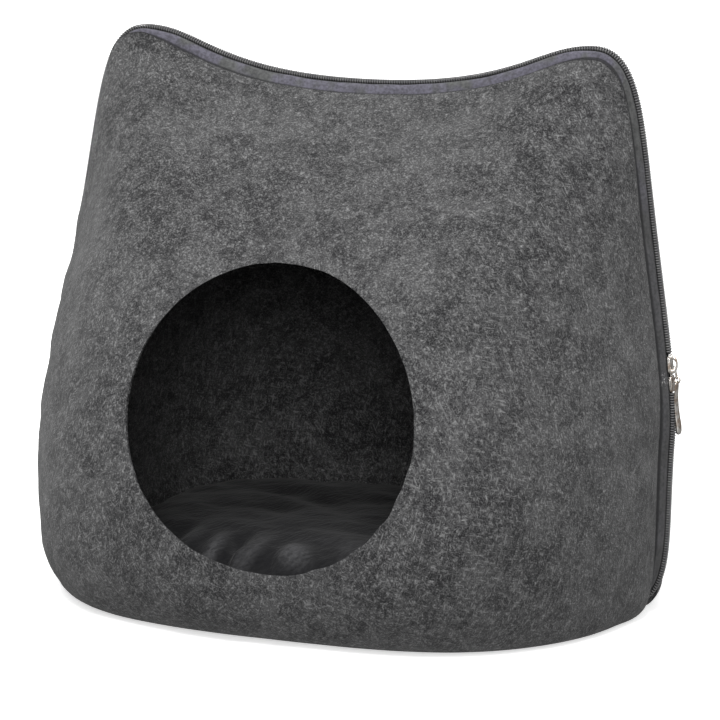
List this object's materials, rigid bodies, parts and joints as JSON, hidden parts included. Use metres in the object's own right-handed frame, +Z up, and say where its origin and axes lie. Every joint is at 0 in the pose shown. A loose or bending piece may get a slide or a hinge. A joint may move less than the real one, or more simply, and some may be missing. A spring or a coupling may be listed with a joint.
{
  "type": "felt cat cave",
  "caption": "Stiff felt cave for a cat: a rounded pouch with an ear at each end of its zipped ridge, a round way in at the front and a soft pad inside.",
  "frame": {"origin": "middle of the flat underside, in the plane of the zip", "axes": "+Z up, -Y out of the round opening, +X to the side with the zip's sliders"},
  "size_m": [0.3911, 0.3413, 0.3259],
  "materials": {
    "grey_felt": "matte melange felt with short light and dark fibres",
    "zip_tape": "fine woven polyester tape",
    "zip_coil": "satin nylon coil",
    "nickel": "polished nickel plate",
    "dark_plush": "short dark plush"
  },
  "bodies": {
    "root": {"felt_body": "grey_felt", "zip_tape_front": "zip_tape", "zip_tape_back": "zip_tape", "zip_coil_long": "zip_coil", "zip_coil_short": "zip_coil", "slider_upper": "nickel", "slider_lower": "nickel", "pull_link": "nickel", "pull_ring": "nickel", "pull_tab": "nickel", "cushion": "dark_plush"}
  },
  "joints": []
}
